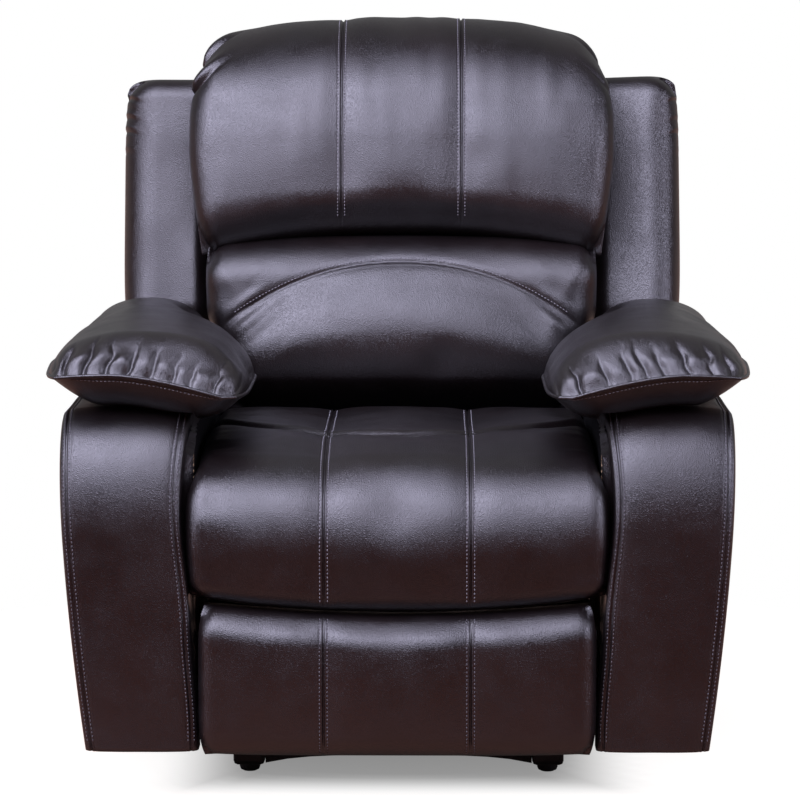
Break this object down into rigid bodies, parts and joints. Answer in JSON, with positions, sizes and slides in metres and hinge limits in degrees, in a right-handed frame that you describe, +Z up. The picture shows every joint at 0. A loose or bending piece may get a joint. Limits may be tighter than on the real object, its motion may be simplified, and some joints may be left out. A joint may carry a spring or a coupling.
{
  "type": "rocker recliner",
  "caption": "Padded rocker recliner in black faux leather with pillow arms, a reclining winged back, a linkage footrest and a rocking base.",
  "frame": {"origin": "on the floor under the middle of the chair's box", "axes": "+Z up, +Y towards the back of the chair, +X to the right of a viewer in front of it"},
  "size_m": [0.9694, 0.9466, 1.0388],
  "materials": {
    "black_leather": "semi-gloss pebbled faux leather",
    "timber": "raw plywood and softwood",
    "black_timber": "black satin paint",
    "black_steel": "black enamel",
    "spring_steel": "drawn wire",
    "webbing": "woven elastic",
    "black_plastic": "fine moulded texture"
  },
  "bodies": {
    "base": {"base_rail_left": "black_timber", "base_rail_right": "black_timber", "base_front_rail": "black_timber", "base_rear_rail": "black_timber", "base_spring_board": "black_timber", "foot_front_left": "black_plastic", "foot_front_right": "black_plastic", "foot_rear_left": "black_plastic", "foot_rear_right": "black_plastic", "rocker_spring_left": "spring_steel", "rocker_spring_right": "spring_steel"},
    "chassis": {"rocker_cam_left": "timber", "rocker_cam_right": "timber", "cam_tie_bar": "timber", "cross_tube_front": "black_steel", "cross_tube_rear": "black_steel", "mechanism_plate_left": "black_steel", "mechanism_plate_right": "black_steel", "arm_frame_left": "timber", "arm_frame_right": "timber", "arm_cover_left": "black_leather", "arm_cover_right": "black_leather", "arm_pillow_left": "black_leather", "arm_pillow_right": "black_leather", "seat_side_rail_left": "timber", "seat_side_rail_right": "timber", "seat_front_rail": "timber", "seat_rear_rail": "timber", "seat_spring_1": "spring_steel", "seat_spring_2": "spring_steel", "seat_spring_3": "spring_steel", "seat_cushion": "black_leather", "release_cup": "black_plastic"},
    "back": {"back_stile_left": "timber", "back_stile_right": "timber", "back_top_rail": "timber", "back_bottom_rail": "timber", "back_webbing_1": "webbing", "back_webbing_2": "webbing", "lumbar_cushion": "black_leather", "head_pillow": "black_leather", "back_wing_left": "black_leather", "back_wing_right": "black_leather", "back_panel": "black_leather", "back_bracket_left": "black_steel", "back_bracket_right": "black_steel"},
    "front_cranks": {"front_crank_left": "black_steel", "front_crank_right": "black_steel", "torque_tube": "black_steel"},
    "rear_cranks": {"rear_crank_left": "black_steel", "rear_crank_right": "black_steel"},
    "lower_links": {"lower_link_left": "black_steel", "lower_link_right": "black_steel"},
    "upper_links": {"upper_link_left": "black_steel", "upper_link_right": "black_steel"},
    "footrest": {"footrest_pad": "black_leather", "footrest_board": "timber", "footrest_bracket_left": "black_steel", "footrest_bracket_right": "black_steel"},
    "release": {"release_paddle": "black_plastic"}
  },
  "joints": [
    {"name": "rock", "type": "hinge", "parent": "base", "child": "chassis", "pos_m": [0, 0.05, 0.2908], "axis": [-1, 0, 0], "range_deg": [-5, 8], "stiffness_Nm_per_rad": 1500, "deforming": ["rocker_spring_left", "rocker_spring_right"]},
    {"name": "recline", "type": "hinge", "parent": "chassis", "child": "back", "pos_m": [0, 0.215, 0.33], "axis": [-1, 0, 0], "range_deg": [0, 38]},
    {"name": "footrest_open", "type": "hinge", "parent": "chassis", "child": "front_cranks", "pos_m": [0, -0.26, 0.305], "axis": [-1, 0, 0], "range_deg": [0, 100]},
    {"name": "rear_crank_turn", "type": "hinge", "parent": "chassis", "child": "rear_cranks", "pos_m": [0, -0.175, 0.305], "axis": [-1, 0, 0], "range_deg": [0, 100]},
    {"name": "lower_link_turn", "type": "hinge", "parent": "front_cranks", "child": "lower_links", "pos_m": [0, -0.12, 0.06251], "axis": [-1, 0, 0], "range_deg": [-100, 0]},
    {"name": "upper_link_turn", "type": "hinge", "parent": "front_cranks", "child": "upper_links", "pos_m": [0, -0.1575, 0.12746], "axis": [-1, 0, 0], "range_deg": [-100, 0]},
    {"name": "footrest_turn", "type": "hinge", "parent": "lower_links", "child": "footrest", "pos_m": [0, -0.315, 0.14001], "axis": [-1, 0, 0], "range_deg": [0, 100]},
    {"name": "release_pull", "type": "hinge", "parent": "chassis", "child": "release", "pos_m": [-0.43305, -0.13, 0.398], "axis": [0, 1, 0], "range_deg": [0, 25], "stiffness_Nm_per_rad": 0.6}
  ],
  "couplings": [
    {"joint": "rear_crank_turn", "follows": "footrest_open", "ratio": 1},
    {"joint": "lower_link_turn", "follows": "footrest_open", "ratio": -1},
    {"joint": "upper_link_turn", "follows": "footrest_open", "ratio": -1},
    {"joint": "footrest_turn", "follows": "footrest_open", "ratio": 1}
  ]
}
